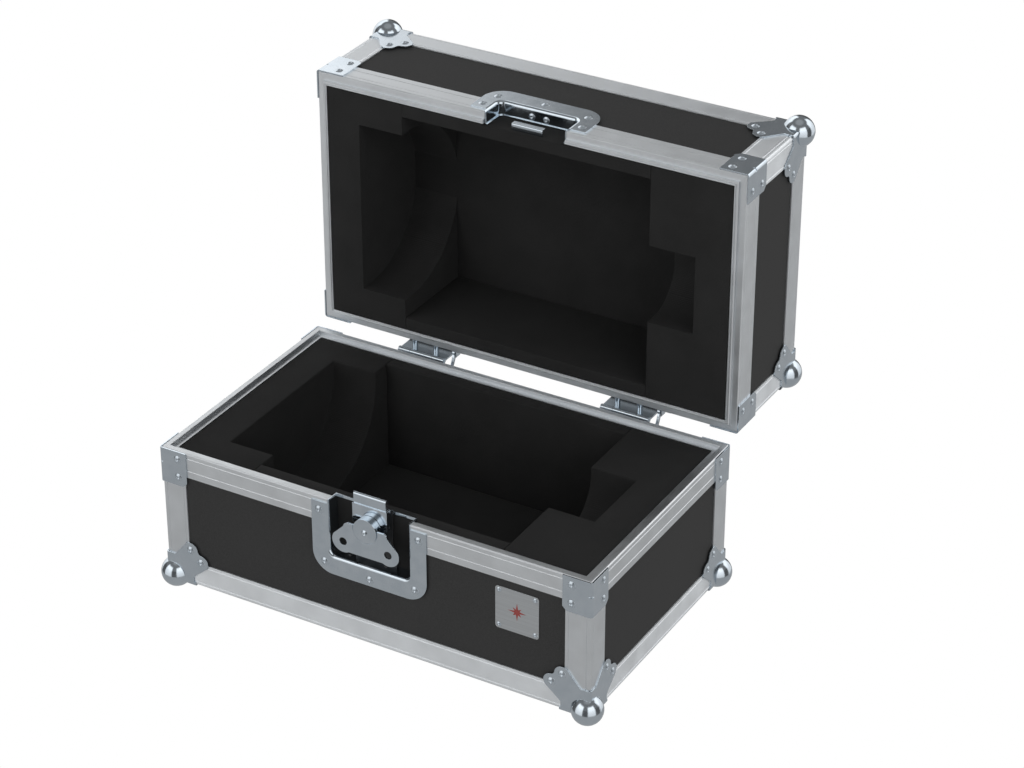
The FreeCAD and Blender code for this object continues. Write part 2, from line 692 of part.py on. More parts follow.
def latch_tongue():
    """The draw tongue: a front band with two cheeks on the tilt pin, and a rounded hook at its top."""
    face = FRONT + 1.7
    cheek_back = FRONT + 9.0
    band_low = TILT_Z + 2.4
    band_top = 172.3
    band = box(-TONGUE_HALF, TONGUE_HALF, face, face + SHEET, band_low, band_top)
    parts = [band]
    for side in (-1, 1):
        inner = side * (TONGUE_HALF - SHEET)
        outer = side * TONGUE_HALF
        x0 = min(inner, outer)
        parts.append(box(x0, x0 + SHEET, face, cheek_back, TILT_Z - 3.5, band_top))
    hook_half = 19.75
    front = FRONT + 2.2
    back = FRONT + 6.6
    outer = (back - front) / 2
    inner = outer - 1.15
    middle = front + outer
    top = 185.4
    round_z = top - outer
    tip_z = top - 3.4

    def at(y, z):
        return V(-hook_half, y, z)

    steps = [at(front, round_z), (at(middle, top), at(back, round_z)), at(back, tip_z),
             at(middle + inner, tip_z), at(middle + inner, round_z),
             (at(middle, round_z + inner), at(middle - inner, round_z)), at(middle - inner, band_top - 2)]
    hook = slab(at(front, band_top - 2), steps, V(2 * hook_half, 0, 0))
    groove = box(-hook_half, hook_half, front, front + 0.7, band_top, band_top + 1.3)
    foot = box(-hook_half, hook_half, face, middle - inner, band_top - 2, band_top)
    bore = rod(STAY_PIN + 0.05, V(-TONGUE_HALF - 1, FRONT + TILT_DEEP, TILT_Z),
               V(TONGUE_HALF + 1, FRONT + TILT_DEEP, TILT_Z))
    return join(parts + [hook.cut(groove), foot]).cut(bore)


def latch_keeper():
    """The lid's keeper, in shell coordinates: lip, shelf, a foot under the foam and a root flange."""
    half = KEEPER_HALF
    sheet = KEEPER_SHEET
    near = LID_HEIGHT - KEEPER_DOWN
    lip_front = FRONT + KEEPER_LIP
    back = FRONT + KEEPER_DEEP
    slope = DISH_TAPER / DISH_DEEP
    root_deep = 6.2

    def wall(deep):
        """Height of the outer side of the tray's far wall at one depth."""
        return LID_HEIGHT - LID.tray_down - DISH_SHEET + slope * deep

    far = wall(KEEPER_DEEP) - sheet
    shelf = box(-half, half, lip_front, back, near - sheet, near)
    lip = box(-half, half, lip_front, lip_front + sheet, near - KEEPER_HOLD, near)
    bend = rod(KEEPER_BEND, V(-half, lip_front + KEEPER_BEND, near - KEEPER_BEND),
               V(half, lip_front + KEEPER_BEND, near - KEEPER_BEND))
    corner = box(-half, half, lip_front, lip_front + KEEPER_BEND, near - KEEPER_BEND, near)
    edge = corner.cut(bend)
    foot = box(-half, half, back - sheet, back, far, near)
    root = slab(V(-half, FRONT + root_deep, wall(root_deep)),
                [V(-half, back, wall(KEEPER_DEEP)), V(-half, back, far),
                 V(-half, FRONT + root_deep, wall(root_deep) - sheet)], V(2 * half, 0, 0))
    whole = join([shelf, lip, corner.common(bend), foot, root]).cut(edge)
    return drilled(whole, keeper_rivet_places(), KEEPER_RIVET_HEAD, DISH_SHEET + 2 * sheet)


# ---------------------------------------------------------------- hinges and stays (closed lid)

def knuckles(hinge_x, own_middle):
    """One leaf's knuckles: the middle one, or the two outer ones. The bore is cut later."""
    half = KNUCKLE_SPAN / 2
    inner = KNUCKLE_MIDDLE / 2
    if own_middle:
        spans = [(-inner, inner)]
    else:
        spans = [(-half, -inner - KNUCKLE_GAP), (inner + KNUCKLE_GAP, half)]
    return [rod(KNUCKLE_RADIUS, V(hinge_x + a, PIN_Y, PIN_Z), V(hinge_x + b, PIN_Y, PIN_Z))
            for a, b in spans]


def hinge_leaf(hinge_x, own_middle):
    """A flat leaf in the plane of the pin, on two stand-off posts, with the lid closed.

    The lid's leaf points up and has the middle knuckle, the base's points down."""
    up = 1 if own_middle else -1
    half = KNUCKLE_SPAN / 2
    near = KNUCKLE_RADIUS + 0.5
    y0 = PIN_Y - LEAF / 2
    y1 = PIN_Y + LEAF / 2

    def leaf_box(x0, x1, r0, r1):
        z0 = PIN_Z + min(up * r0, up * r1)
        z1 = PIN_Z + max(up * r0, up * r1)
        return box(hinge_x + x0, hinge_x + x1, y0, y1, z0, z1)

    inner = KNUCKLE_MIDDLE / 2
    parts = knuckles(hinge_x, own_middle) + [leaf_box(-half, half, near, LEAF_REACH)]
    if own_middle:
        parts.append(leaf_box(-inner, inner, 0, near))
    else:
        parts.append(leaf_box(-half, -inner - KNUCKLE_GAP, 0, near))
        parts.append(leaf_box(inner + KNUCKLE_GAP, half, 0, near))
    post_z = PIN_Z + up * POST_REACH
    for post_x in POSTS_X:
        x = hinge_x + post_x
        parts.append(rod(POST_RADIUS, V(x, BACK, post_z), V(x, y0 + 0.5, post_z)))
        parts.append(rod(2.4, V(x, y0 + 0.5, post_z), V(x, y1 + 1.2, post_z)))
    fit = PIN_FIT if own_middle else 0.0
    bore = rod(PIN_RADIUS + fit, V(hinge_x - half - 1, PIN_Y, PIN_Z), V(hinge_x + half + 1, PIN_Y, PIN_Z))
    return join(parts).cut(bore)


def hinge_pin(hinge_x):
    half = KNUCKLE_SPAN / 2
    return rod(PIN_RADIUS, V(hinge_x - half, PIN_Y, PIN_Z), V(hinge_x + half, PIN_Y, PIN_Z))


def stay_bracket(stay_x, pin_at, outline, foot_z):
    """A bracket on the back: a foot on the shell, an upright ear, and the pin of the stay arm.

    The outline gives the ear's points as distances from the back face and heights."""
    ear = stay_x + 2.3
    ear_sheet = 1.5
    steps = [V(ear, BACK + out, z) for out, z in outline]
    blade = slab(steps[0], steps[1:], V(ear_sheet, 0, 0))
    lowest, highest = foot_z
    root = outline[0][0]
    foot = box(ear, ear + 13, BACK + root, BACK + root + SHEET, lowest, highest)
    pin_y, pin_z = pin_at
    pin = rod(STAY_PIN, V(ear + 0.5, pin_y, pin_z), V(stay_x - 2.6, pin_y, pin_z))
    head = rod(2.7, V(stay_x - 1.5, pin_y, pin_z), V(stay_x - 2.7, pin_y, pin_z))
    return join([blade, foot, pin, head])


def stay_base_bracket(stay_x):
    rim = FOOT + BASE_HEIGHT
    pin_at = (PIN_Y + STAY_BASE[0], PIN_Z + STAY_BASE[1])
    outline = [(-SHEET, rim - 47), (3.0, rim - 47), (12.2, rim - 38), (12.2, rim - 29.0),
               (5.4, rim - 29.0), (-SHEET, rim - 31)]
    return stay_bracket(stay_x, pin_at, outline, (rim - 52, rim - 31))


def stay_lid_bracket(stay_x):
    """Made for the closed lid, where the open pivot's offsets turn back by the opening angle."""
    rim = FOOT + BASE_HEIGHT + SEAM
    pin_at = (PIN_Y - STAY_LID[1], PIN_Z + STAY_LID[0])
    outline = [(0.0, rim + 22), (2.0, rim + 22), (9.0, rim + 12), (9.0, rim + 4.0), (0.0, rim + 3)]
    return stay_bracket(stay_x, pin_at, outline, (rim + 3, rim + 27))


def stay_arm(stay_x):
    """A rod with flattened ends, from its pivot on the open lid to the slot on the base pin."""
    flat = 1.25
    wide = 4.0
    rod_radius = 2.0
    near, far = STAY_SLOT
    slot_half = STAY_PIN + 0.5
    end = far + slot_half + 2.0
    neck = near - slot_half - 4.5
    eye = rod(wide, V(-flat, 0, 0), V(flat, 0, 0)).fuse(box(-flat, flat, -3, 3, 0, 6))
    shank = rod(rod_radius, V(0, 0, 5.0), V(0, 0, neck + 1))
    paddle = box(-flat, flat, -wide, wide, neck, end - wide)
    tip = rod(wide, V(-flat, 0, end - wide), V(flat, 0, end - wide))
    slot = join([box(-2, 2, -slot_half, slot_half, near, far),
                 rod(slot_half, V(-2, 0, near), V(2, 0, near)),
                 rod(slot_half, V(-2, 0, far), V(2, 0, far))])
    bore = rod(STAY_PIN + 0.05, V(-2, 0, 0), V(2, 0, 0))
    arm = join([eye, shank, paddle, tip]).cut(bore).cut(slot)
    lid_end = V(stay_x, PIN_Y + STAY_LID[0], PIN_Z + STAY_LID[1])
    base_end = V(stay_x, PIN_Y + STAY_BASE[0], PIN_Z + STAY_BASE[1])
    arm.Placement = FreeCAD.Placement(lid_end, FreeCAD.Rotation(V(0, 0, 1), base_end - lid_end))
    return arm


# ---------------------------------------------------------------- label

def label_plate():
    """A blank plate with rounded corners on the front panel."""
    y = FRONT + SHEET
    radius = 3.5
    mid = radius * (1 - math.sqrt(0.5))
    x0 = LABEL_X - LABEL_HALF
    x1 = LABEL_X + LABEL_HALF
    z0 = LABEL_Z - LABEL_HALF
    z1 = LABEL_Z + LABEL_HALF
    steps = [V(x1 - radius, y, z0), (V(x1 - mid, y, z0 + mid), V(x1, y, z0 + radius)),
             V(x1, y, z1 - radius), (V(x1 - mid, y, z1 - mid), V(x1 - radius, y, z1)),
             V(x0 + radius, y, z1), (V(x0 + mid, y, z1 - mid), V(x0, y, z1 - radius)),
             V(x0, y, z0 + radius), (V(x0 + mid, y, z0 + mid), V(x0 + radius, y, z0))]
    plate = slab(V(x0 + radius, y, z0), steps, V(0, -LABEL_SHEET, 0))
    return drilled(plate, label_rivet_places(), 2.9, LABEL_SHEET)


def label_rivet_places():
    y = FRONT + SHEET - LABEL_SHEET
    return [(V(LABEL_X + a * LABEL_RIVET, y, LABEL_Z + b * LABEL_RIVET), V(0, -1, 0))
            for a in (-1, 1) for b in (-1, 1)]


# ---------------------------------------------------------------- placing and writing

def on_base(shape):
    return shape.translated(V(0, 0, FOOT))


def opened(shape):
    """A shape made for the closed lid, turned open about the hinge pin."""
    return shape.rotated(V(0, PIN_Y, PIN_Z), V(1, 0, 0), -OPEN_ANGLE)


def on_lid(shape):
    """A shape in shell coordinates, turned over onto the base and then opened."""
    over = mirrored(shape, V(0, 0, 1))
    return opened(over.translated(V(0, 0, FOOT + BASE_HEIGHT + SEAM + LID_HEIGHT)))


def shell_nodes(shell):
    """All fixed nodes of one shell, in shell coordinates."""
    nodes = {"floor_panel": [floor_panel()]}
    for side, panel in wall_panels(shell).items():
        nodes[side + "_panel"] = [panel]
    nodes["edge_angles"] = edge_angles()
    nodes["corner_posts"] = corner_posts(shell)
    for side, piece in rims(shell).items():
        nodes["rim_" + side] = [piece]
    nodes["ball_corners"] = four_ways([ball_corner()])
    nodes["corner_braces"] = four_ways([corner_brace(shell)])
    nodes["latch_dish"] = [latch_dish(shell)]
    for name, block in foam(shell).items():
        nodes["foam_" + name] = [block]
    corner_rivets = [rivet(*place) for place in wing_rivet_places() + brace_rivet_places(shell)]
    rivets = four_ways(corner_rivets)
    rivets += [rivet(*place) for place in dish_rivet_places(shell)]
    if shell.name == "base":
        rivets += [rivet(*place, 2.9, LABEL_SHEET) for place in label_rivet_places()]
    else:
        through = DISH_SHEET + KEEPER_SHEET
        rivets += [rivet(*place, KEEPER_RIVET_HEAD, through) for place in keeper_rivet_places()]
    nodes["rivets"] = rivets
    return nodes


def save(name, solids):
    shape = solids[0] if len(solids) == 1 else Part.makeCompound(solids)
    shape.exportStep("parts/" + name + ".step")
    count = len(shape.Solids)
    size = shape.BoundBox
    print(f"{name:28s} solids {count:3d} valid {shape.isValid()} volume {shape.Volume / 1000:9.2f} cm3 "
          f"x {size.XMin:7.1f} {size.XMax:7.1f} y {size.YMin:7.1f} {size.YMax:7.1f} "
          f"z {size.ZMin:7.1f} {size.ZMax:7.1f}")


def main():
    os.makedirs("parts", exist_ok=True)
    for name, solids in shell_nodes(BASE).items():
        save("base_" + name, [on_base(solid) for solid in solids])
    for name, solids in shell_nodes(LID).items():
        name = "top_panel" if name == "floor_panel" else name
        save("lid_" + name, [on_lid(solid) for solid in solids])
    save("label_plate", [on_base(label_plate())])
    save("latch_back_plate", [on_base(latch_back_plate())])
    save("latch_wing", [on_base(latch_wing())])
    save("latch_drum", [on_base(latch_drum())])
    save("latch_shaft", [on_base(latch_shaft())])
    save("latch_yoke", [on_base(latch_yoke())])
    save("latch_tongue", [on_base(latch_tongue())])
    save("latch_keeper", [on_lid(latch_keeper())])
    hinges = (-HINGE_X, HINGE_X)
    save("hinge_base_leaves", [hinge_leaf(x, False) for x in hinges])
    save("hinge_lid_leaves", [opened(hinge_leaf(x, True)) for x in hinges])
    save("hinge_pins", [hinge_pin(x) for x in hinges])
    stays = [x + STAY_X for x in hinges]
    save("stay_base_brackets", [stay_base_bracket(x) for x in stays])
    save("stay_lid_brackets", [opened(stay_lid_bracket(x)) for x in stays])
    save("stay_arm_left", [stay_arm(stays[0])])
    save("stay_arm_right", [stay_arm(stays[1])])


main()
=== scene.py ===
"""Looks of the telescope carry case: materials, foam inserts, printed label, camera and light.

Every length is in metres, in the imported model's frame: +X along the case, -Y towards its front.
"""
import json
import math

import bmesh
import bpy
from mathutils import Matrix, Vector


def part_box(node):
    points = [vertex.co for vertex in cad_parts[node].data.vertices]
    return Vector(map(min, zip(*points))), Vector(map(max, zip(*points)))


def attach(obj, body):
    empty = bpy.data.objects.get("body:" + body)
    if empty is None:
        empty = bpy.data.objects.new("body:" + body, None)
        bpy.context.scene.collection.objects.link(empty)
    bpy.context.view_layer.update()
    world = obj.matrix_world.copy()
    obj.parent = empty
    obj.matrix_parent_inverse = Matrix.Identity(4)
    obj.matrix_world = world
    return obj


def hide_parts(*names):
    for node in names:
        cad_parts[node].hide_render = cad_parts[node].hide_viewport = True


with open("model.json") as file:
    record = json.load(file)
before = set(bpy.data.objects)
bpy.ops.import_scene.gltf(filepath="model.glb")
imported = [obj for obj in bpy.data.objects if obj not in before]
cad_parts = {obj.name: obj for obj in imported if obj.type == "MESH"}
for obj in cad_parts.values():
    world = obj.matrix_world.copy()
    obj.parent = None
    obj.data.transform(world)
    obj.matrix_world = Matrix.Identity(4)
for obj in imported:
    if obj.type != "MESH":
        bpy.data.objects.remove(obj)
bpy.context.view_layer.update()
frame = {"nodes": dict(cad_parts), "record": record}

MM = 0.001

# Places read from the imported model
case_low, case_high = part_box("base_edge_angles")
half_length = case_high.x
leg = case_high.z - case_low.z
base_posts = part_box("base_corner_posts")
lid_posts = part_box("lid_corner_posts")


# ---------------------------------------------------------------- node helpers

# Which input takes the first value, which the second, and which output has the result
MIX_SOCKETS = {"RGBA": (6, 7, 2), "FLOAT": (2, 3, 0)}


class Nodes:
    """Adds nodes to one empty tree and joins them with short calls."""

    def __init__(self, owner):
        owner.use_nodes = True
        self.tree = owner.node_tree
        self.tree.nodes.clear()

    def link(self, value, socket):
        """Joins an output to a socket, or writes a plain value into it."""
        if isinstance(value, bpy.types.NodeSocket):
            self.tree.links.new(value, socket)
        else:
            socket.default_value = value

    def math(self, operation, a, b=0.0, c=0.0):
        node = self.tree.nodes.new("ShaderNodeMath")
        node.operation = operation
        for socket, value in zip(node.inputs, (a, b, c)):
            self.link(value, socket)
        return node.outputs[0]

    def split(self, vector):
        """The three coordinates of a vector."""
        node = self.tree.nodes.new("ShaderNodeSeparateXYZ")
        self.link(vector, node.inputs[0])
        return node.outputs

    def combined(self, *coordinates):
        """A vector from its three coordinates."""
        node = self.tree.nodes.new("ShaderNodeCombineXYZ")
        for value, socket in zip(coordinates, node.inputs):
            self.link(value, socket)
        return node.outputs[0]


class Maker(Nodes):
    """The nodes of one new material, placed by the object's own coordinates."""

    def __init__(self, name):
        self.material = bpy.data.materials.new(name)
        super().__init__(self.material)
        output = self.tree.nodes.new("ShaderNodeOutputMaterial")
        self.shader = self.tree.nodes.new("ShaderNodeBsdfPrincipled")
        self.link(self.shader.outputs[0], output.inputs[0])
        self.place = self.tree.nodes.new("ShaderNodeTexCoord").outputs["Object"]

    def scaled(self, scale):
        """The object's coordinates, each times its own scale."""
        node = self.tree.nodes.new("ShaderNodeMapping")
        self.link(self.place, node.inputs["Vector"])
        node.inputs["Scale"].default_value = scale
        return node.outputs[0]

    def noise(self, scale, detail, vector=None):
        node = self.tree.nodes.new("ShaderNodeTexNoise")
        self.link(vector or self.place, node.inputs["Vector"])
        node.inputs["Scale"].default_value = scale
        node.inputs["Detail"].default_value = detail
        return node.outputs["Fac"]

    def spread(self, value, low, high, to_low=0.0, to_high=1.0):
        """Moves one range of a value onto another, and holds it there outside the range."""
        node = self.tree.nodes.new("ShaderNodeMapRange")
        limits = {"From Min": low, "From Max": high, "To Min": to_low, "To Max": to_high}
        for name, number in limits.items():
            node.inputs[name].default_value = number
        self.link(value, node.inputs["Value"])
        return node.outputs[0]

    def between(self, value, low, high):
        """1 inside the range and 0 outside it."""
        above = self.math("GREATER_THAN", value, low)
        return self.math("MULTIPLY", above, self.math("LESS_THAN", value, high))

    def blend(self, share, first, second):
        """Mixes two colours or two numbers: the first at a share of 0, the second at 1."""
        node = self.tree.nodes.new("ShaderNodeMix")
        is_socket = isinstance(first, bpy.types.NodeSocket)
        is_colour = first.type == "RGBA" if is_socket else isinstance(first, tuple)
        node.data_type = "RGBA" if is_colour else "FLOAT"
        first_input, second_input, output = MIX_SOCKETS[node.data_type]
        self.link(share, node.inputs[0])
        self.link(first, node.inputs[first_input])
        self.link(second, node.inputs[second_input])
        return node.outputs[output]

    def rounded(self, radius):
        """Softens the light on sharp edges, as a small real edge radius does."""
        node = self.tree.nodes.new("ShaderNodeBevel")
        node.samples = 4
        node.inputs["Radius"].default_value = radius
        return node.outputs[0]

    def bump(self, height, distance, strength, normal=None):
        """A normal that follows a height map, added to another normal if one is given."""
        node = self.tree.nodes.new("ShaderNodeBump")
        node.inputs["Strength"].default_value = strength
        node.inputs["Distance"].default_value = distance
        self.link(height, node.inputs["Height"])
        if normal is not None:
            self.link(normal, node.inputs["Normal"])
        return node.outputs[0]

    def finish(self, colour, roughness, normal=None, metallic=0.0, **constants):
        """Fills in the shader and hands the material over. Constants go on its own sockets."""
        self.link(colour, self.shader.inputs["Base Color"])
        self.link(roughness, self.shader.inputs["Roughness"])
        self.shader.inputs["Metallic"].default_value = metallic
        if normal is not None:
            self.link(normal, self.shader.inputs["Normal"])
        for name, value in constants.items():
            self.shader.inputs[name.replace("_", " ")].default_value = value
        return self.material


def grey(level, tint=(1.0, 1.0, 1.0)):
    """A colour of one level, with each channel times its tint."""
    return tuple(level * part for part in tint) + (1.0,)


# ---------------------------------------------------------------- materials

ALUMINIUM_TINT = (0.98, 1.015, 1.045)
PLATING_TINTS = ((0.90, 1.0, 1.09), (0.91, 1.0, 1.08))
PAINTED_SHADE_TINT = (0.96, 1.0, 1.06)
LABEL_TINT = (0.96, 1.0, 1.03)
DRAW_LINES = (6.0, 1500.0)              # noise scale along a bar and across it
BRUSH_LINES = (8.0, 900.0, 2200.0)      # noise scale along the label, through it and up it
RED_INK = (0.30, 0.045, 0.04, 1.0)
WORN_INK = (0.36, 0.07, 0.06, 1.0)
BRICK_WIDTH = 3.2 * MM
BRICK_HEIGHT = 1.6 * MM
BRICK_GAP = 0.35 * MM
FACING = 0.7                            # how much of a normal has to point along an axis


def aluminium(name, level, rough, drawn):
    """Satin aluminium extrusion: fine draw lines along each bar and a slightly mottled skin.

    `drawn` is how strongly the reflections are stretched across the bar's length."""
    m = Maker(name)
    along, across = DRAW_LINES
    along_x = m.noise(1.0, 2.0, m.scaled((along, across, across)))
    along_y = m.noise(1.0, 2.0, m.scaled((across, along, across)))
    along_z = m.noise(1.0, 2.0, m.scaled((across, across, along)))
    x, y, z = m.split(m.place)
    at_end = m.math("GREATER_THAN", m.math("ABSOLUTE", x), half_length - leg)
    in_lid = m.math("GREATER_THAN", y, lid_posts[0].y - leg - MM)
    base_post = m.between(z, base_posts[0].z, base_posts[1].z)
    lid_post = m.between(y, lid_posts[0].y, lid_posts[1].y)
    runs_back = m.blend(in_lid, m.math("SUBTRACT", 1.0, base_post), lid_post)
    lines = m.blend(at_end, along_x, m.blend(runs_back, along_z, along_y))
    bar = m.combined(m.math("SUBTRACT", 1.0, at_end), m.math("MULTIPLY", at_end, runs_back),
                     m.math("MULTIPLY", at_end, m.math("SUBTRACT", 1.0, runs_back)))
    turned = m.tree.nodes.new("ShaderNodeVectorTransform")
    turned.vector_type = "VECTOR"
    turned.convert_from = "OBJECT"
    turned.convert_to = "WORLD"
    m.link(bar, turned.inputs[0])
    m.link(turned.outputs[0], m.shader.inputs["Tangent"])
    cloud = m.noise(38.0, 3.0)
    colour = m.blend(m.spread(cloud, 0.3, 0.7), grey(level, ALUMINIUM_TINT),
                     grey(level + 0.06, ALUMINIUM_TINT))
    roughness = m.math("ADD", m.spread(lines, 0.3, 0.7, rough, rough + 0.10),
                       m.spread(cloud, 0.35, 0.65, 0.0, 0.07))
    normal = m.bump(lines, 0.03 * MM, 0.6, m.rounded(0.4 * MM))
    return m.finish(colour, roughness, normal, 1.0, Anisotropic=drawn, Anisotropic_Rotation=0.25)


def laminate():
    """Dark grey laminate on the panels: a very fine leathery grain and faint mottling."""
    m = Maker("panel_laminate")
    grain = m.noise(1500.0, 2.0)
    cloud = m.noise(9.0, 4.0)
    speck = m.spread(m.noise(900.0, 1.0), 0.35, 0.75)
    dark = m.blend(m.spread(cloud, 0.3, 0.7), grey(0.040), grey(0.047))
    colour = m.blend(speck, dark, grey(0.056))
    roughness = m.spread(cloud, 0.3, 0.7, 0.50, 0.56)
    normal = m.bump(grain, 0.08 * MM, 0.35, m.rounded(0.4 * MM))
    return m.finish(colour, roughness, normal, 0.0, Specular_IOR_Level=0.06)


def plated(name, level, low, high, edge=0.4 * MM):
    """Bright plating on pressed steel: mirror-like, with faint waves and handling marks.

    `low` and `high` are its least and most rough spots, and `edge` the radius of its edges."""
    m = Maker(name)
    waves = m.noise(70.0, 2.0)
    marks = m.noise(420.0, 4.0)
    spangle = m.noise(1300.0, 1.0)
    colour = m.blend(m.spread(waves, 0.35, 0.65), grey(level, PLATING_TINTS[0]),
                     grey(level * 1.06, PLATING_TINTS[1]))
    roughness = m.math("ADD", m.spread(marks, 0.35, 0.75, low, high),
                       m.spread(waves, 0.3, 0.7, 0.0, 0.03))
    normal = m.bump(spangle, 0.03 * MM, 0.5, m.bump(waves, 0.2 * MM, 0.25, m.rounded(edge)))
    return m.finish(colour, roughness, normal, 1.0)


def dark_steel():
    """Sheet steel coloured nearly black as painted shade for the latch's recess behind its wing, with a
    faint oily shine.
    """
    m = Maker("dark_steel")
    marks = m.noise(300.0, 4.0)
    # painted shade: the plate's colour is kept nearly black to stand in for the shade in the recess
    colour = m.blend(m.spread(marks, 0.35, 0.7), grey(0.026, PAINTED_SHADE_TINT),
                     grey(0.036, PAINTED_SHADE_TINT))
    roughness = m.spread(marks, 0.35, 0.7, 0.3, 0.42)
    return m.finish(colour, roughness, m.rounded(0.3 * MM), 0.0, Specular_IOR_Level=0.4)


def foam_material():
    """Black closed-cell foam: an embossed brick-like skin over a fine cellular grain."""
    m = Maker("foam")
    facing = m.split(m.tree.nodes.new("ShaderNodeTexCoord").outputs["Normal"])
    x, y, z = m.split(m.place)

    def cells(across, along):
        brick = m.tree.nodes.new("ShaderNodeTexBrick")
        m.link(m.combined(across, along), brick.inputs["Vector"])
        brick.inputs["Scale"].default_value = 1.0
        brick.inputs["Brick Width"].default_value = BRICK_WIDTH
        brick.inputs["Row Height"].default_value = BRICK_HEIGHT
        brick.inputs["Mortar Size"].default_value = BRICK_GAP
        brick.inputs["Mortar Smooth"].default_value = 1.0
        return brick.outputs["Fac"]

    side = m.math("GREATER_THAN", m.math("ABSOLUTE", facing[0]), FACING)
    upright = m.math("GREATER_THAN", m.math("ABSOLUTE", facing[2]), FACING)
    pattern = m.blend(side, m.blend(upright, cells(x, z), cells(x, y)), cells(y, z))
    grain = m.noise(2600.0, 2.0)
    cloud = m.noise(26.0, 3.0)
    base = m.blend(m.spread(cloud, 0.3, 0.7), grey(0.023), grey(0.030))
    # painted shade: the embossed grooves are coloured darker than the foam between them
    colour = m.blend(pattern, base, grey(0.015))
    height = m.math("ADD", m.math("MULTIPLY", pattern, -1.0), m.math("MULTIPLY", grain, 0.6))
    normal = m.bump(height, 0.3 * MM, 0.5)
    return m.finish(colour, 0.92, normal, 0.0, Specular_IOR_Level=0.2, Sheen_Weight=0.02,
                    Sheen_Roughness=0.6)


def label_metal():
    """Brushed plate of the label."""
    m = Maker("label_aluminium")
    lines = m.noise(1.0, 3.0, m.scaled(BRUSH_LINES))
    colour = m.blend(m.spread(lines, 0.3, 0.7), grey(0.50, LABEL_TINT), grey(0.60, LABEL_TINT))
    normal = m.bump(lines, 0.02 * MM, 0.5, m.rounded(0.3 * MM))
    return m.finish(colour, m.spread(lines, 0.3, 0.7, 0.3, 0.42), normal, 1.0)


def ink():
    """Slightly worn red print."""
    m = Maker("label_ink")
    wear = m.noise(600.0, 3.0)
    colour = m.blend(m.spread(wear, 0.4, 0.7), RED_INK, WORN_INK)
    return m.finish(colour, m.spread(wear, 0.3, 0.7, 0.4, 0.55))


MATERIALS = {
    "extrusion_aluminium": aluminium("extrusion_aluminium", level=0.76, rough=0.36, drawn=0.7),
    "panel_laminate": laminate(),
    "plated_zinc": plated("plated_zinc", level=0.63, low=0.09, high=0.16),
    "plated_steel": plated("plated_steel", level=0.62, low=0.12, high=0.20),
    # painted shade: the latch back plate is coloured nearly black for the shade in its recess
    "dark_steel": dark_steel(),
    "rivet_steel": plated("rivet_steel", level=0.62, low=0.28, high=0.36, edge=0.2 * MM),
    "foam": foam_material(),
    "label_aluminium": label_metal(),
}


def dress(piece, material):
    piece.data.materials.clear()
    piece.data.materials.append(material)


def dress_nodes():
    """Gives every CAD node the material of its slot. The rims are finished smoother than the angles."""
    rim_aluminium = aluminium("rim_aluminium", level=0.68, rough=0.34, drawn=0.0)
    for entry in frame["record"]["subparts"]:
        is_rim = "_rim_" in entry["node"]
        material = rim_aluminium if is_rim else MATERIALS[entry["material_slot"]]
        dress(frame["nodes"][entry["node"]], material)


# ---------------------------------------------------------------- foam

FOAM_EDGE = 1.4 * MM                    # width of the soft cut edge


def foam_piece(node):
    """A foam block with the shape of its CAD solid and soft cut edges."""
    source = frame["nodes"][node]
    mesh = source.data.copy()
    piece = bpy.data.objects.new("soft_" + node, mesh)
    bpy.context.scene.collection.objects.link(piece)
    shape = bmesh.new()
    shape.from_mesh(mesh)
    bmesh.ops.remove_doubles(shape, verts=shape.verts, dist=1e-5)
    bmesh.ops.dissolve_limit(shape, angle_limit=math.radians(1.0), verts=shape.verts, edges=shape.edges)
    shape.to_mesh(mesh)
    shape.free()
    bevel = piece.modifiers.new("soft_edges", "BEVEL")
    bevel.width = FOAM_EDGE
    bevel.segments = 3
    bevel.limit_method = "ANGLE"
    bevel.angle_limit = math.radians(35.0)
    for face in mesh.polygons:
        face.use_smooth = True
    dress(piece, MATERIALS["foam"])
    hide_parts(node)
    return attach(piece, "lid" if node.startswith("lid") else "base")


def foam_inserts():
    for node in sorted(frame["nodes"]):
        if "_foam_" in node:
            foam_piece(node)


# ---------------------------------------------------------------- label

def flat_piece(name, outline, depth, body, material):
    """A thin raised shape from a closed outline of (x, z) points, standing `depth` out of its plane."""
    mesh = bpy.data.meshes.new(name)
    piece = bpy.data.objects.new(name, mesh)
    bpy.context.scene.collection.objects.link(piece)
    shape = bmesh.new()
    plane_y, rise = depth
    face = shape.faces.new([shape.verts.new((x, plane_y, z)) for x, z in outline])
    pushed = bmesh.ops.extrude_face_region(shape, geom=[face])
    moved = [v for v in pushed["geom"] if isinstance(v, bmesh.types.BMVert)]
    bmesh.ops.translate(shape, verts=moved, vec=(0.0, -rise, 0.0))
    bmesh.ops.recalc_face_normals(shape, faces=shape.faces)
    shape.to_mesh(mesh)
    shape.free()
    dress(piece, material)
    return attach(piece, body)


# Points of the star: long tip, notch, short tip, notch, in millimetres from its middle
STAR_REACH = (11.0, 3.4, 7.0, 3.4)
STAR_STEPS = 16
INK_DEPTH = 0.05 * MM


def label_star():
    """A plain eight-pointed star printed in the middle of the label plate."""
    low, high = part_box("label_plate")
    middle_x = (low.x + high.x) / 2
    middle_z = (low.z + high.z) / 2
    points = []
    for step in range(STAR_STEPS):
        reach = STAR_REACH[step % len(STAR_REACH)] * MM
        turn = math.radians(360.0 / STAR_STEPS * step + 90.0)
        points.append((middle_x + reach * math.cos(turn), middle_z + reach * math.sin(turn)))
    flat_piece("label_star", points, (low.y, INK_DEPTH), "base", ink())


# ---------------------------------------------------------------- stage

